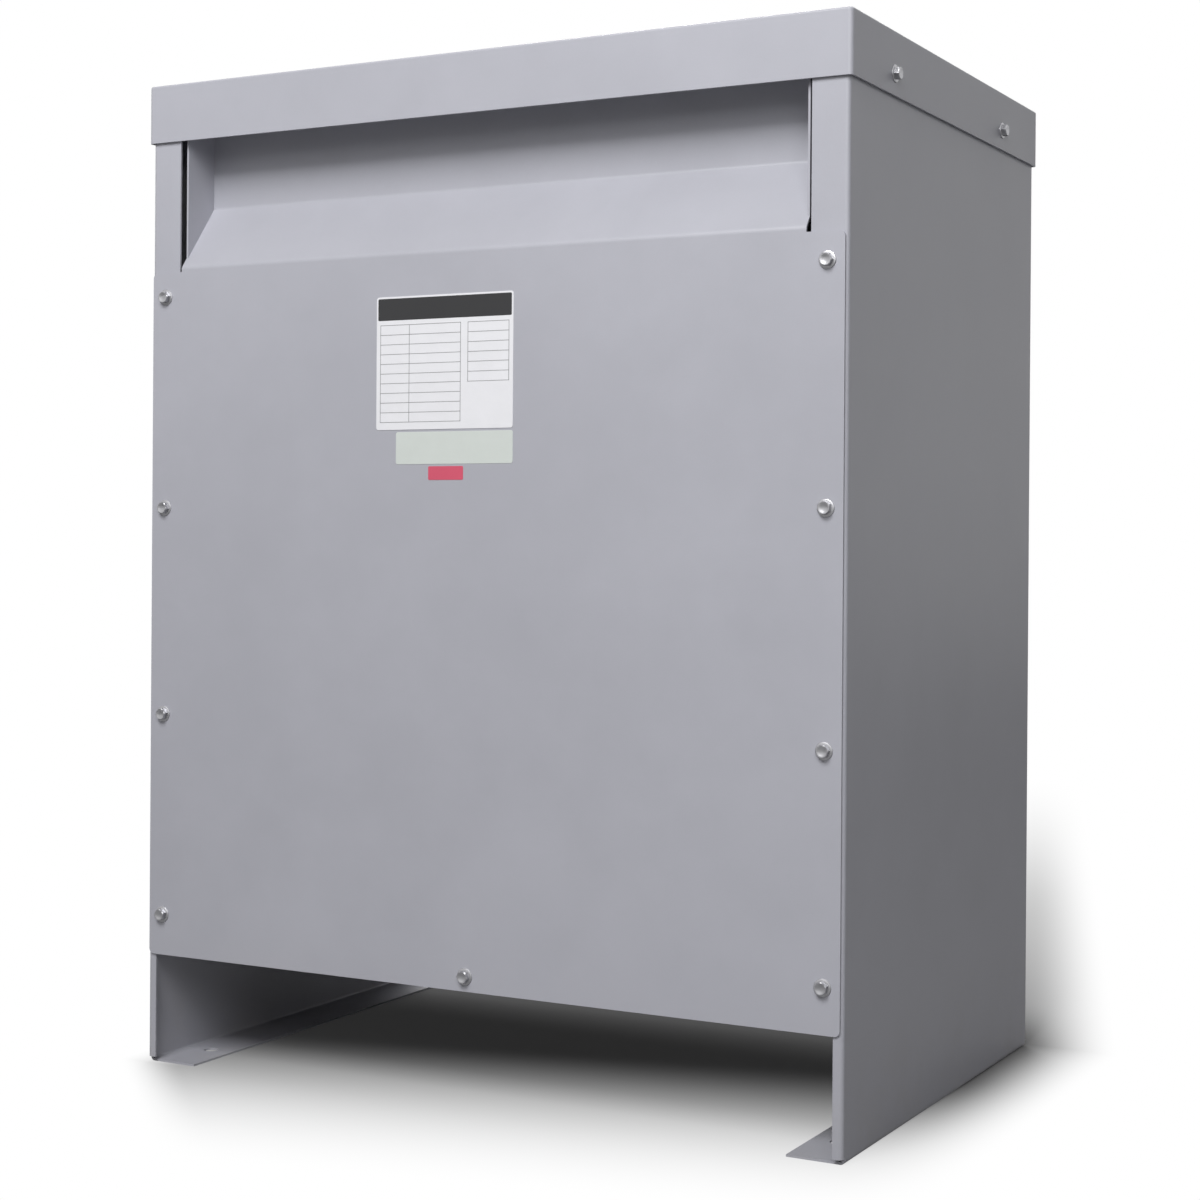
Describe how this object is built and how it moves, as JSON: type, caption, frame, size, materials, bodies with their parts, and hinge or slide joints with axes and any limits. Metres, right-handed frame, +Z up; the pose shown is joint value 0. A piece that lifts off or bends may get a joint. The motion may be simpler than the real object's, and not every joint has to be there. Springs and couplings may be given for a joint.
{
  "type": "ventilated dry-type power transformer",
  "caption": "Floor-standing ventilated dry-type transformer: folded sheet-metal case with a vent recess under its cap at the front and rear, and a core with three coils on rubber pads inside.",
  "frame": {"origin": "on the floor, under the middle of the case", "axes": "+Z up, the front cover faces -Y, +X to the right as seen from the front"},
  "size_m": [0.711, 0.489, 0.922],
  "materials": {
    "case_paint": "satin light-grey powder coat",
    "support_steel": "galvanised",
    "clamp_steel": "black varnish over steel",
    "rod_steel": "zinc plated",
    "pad_rubber": "matt black",
    "core_steel": "varnished lamination edges",
    "inner_coil": "varnished insulation",
    "outer_coil": "varnished insulation",
    "spacer_laminate": "glass laminate",
    "bar_metal": "bare, lightly dulled"
  },
  "bodies": {
    "root": {"top_cap": "case_paint", "left_side_panel": "case_paint", "right_side_panel": "case_paint", "front_cover": "case_paint", "rear_cover": "case_paint", "front_base_rail": "case_paint", "rear_base_rail": "case_paint", "left_core_support": "support_steel", "right_core_support": "support_steel", "isolation_pads": "pad_rubber", "lower_front_clamp": "clamp_steel", "lower_rear_clamp": "clamp_steel", "upper_front_clamp": "clamp_steel", "upper_rear_clamp": "clamp_steel", "clamp_tie_rods": "rod_steel", "core_lower_yoke": "core_steel", "core_upper_yoke": "core_steel", "core_left_limb": "core_steel", "core_centre_limb": "core_steel", "core_right_limb": "core_steel", "inner_winding_left": "inner_coil", "inner_winding_centre": "inner_coil", "inner_winding_right": "inner_coil", "outer_winding_left": "outer_coil", "outer_winding_centre": "outer_coil", "outer_winding_right": "outer_coil", "duct_sticks_left": "spacer_laminate", "duct_sticks_centre": "spacer_laminate", "duct_sticks_right": "spacer_laminate", "lower_coil_blocks": "spacer_laminate", "upper_coil_blocks": "spacer_laminate", "low_voltage_bar_left": "bar_metal", "low_voltage_bar_centre": "bar_metal", "low_voltage_bar_right": "bar_metal", "neutral_bar": "bar_metal", "tap_board_left": "spacer_laminate", "tap_board_centre": "spacer_laminate", "tap_board_right": "spacer_laminate"}
  },
  "joints": []
}
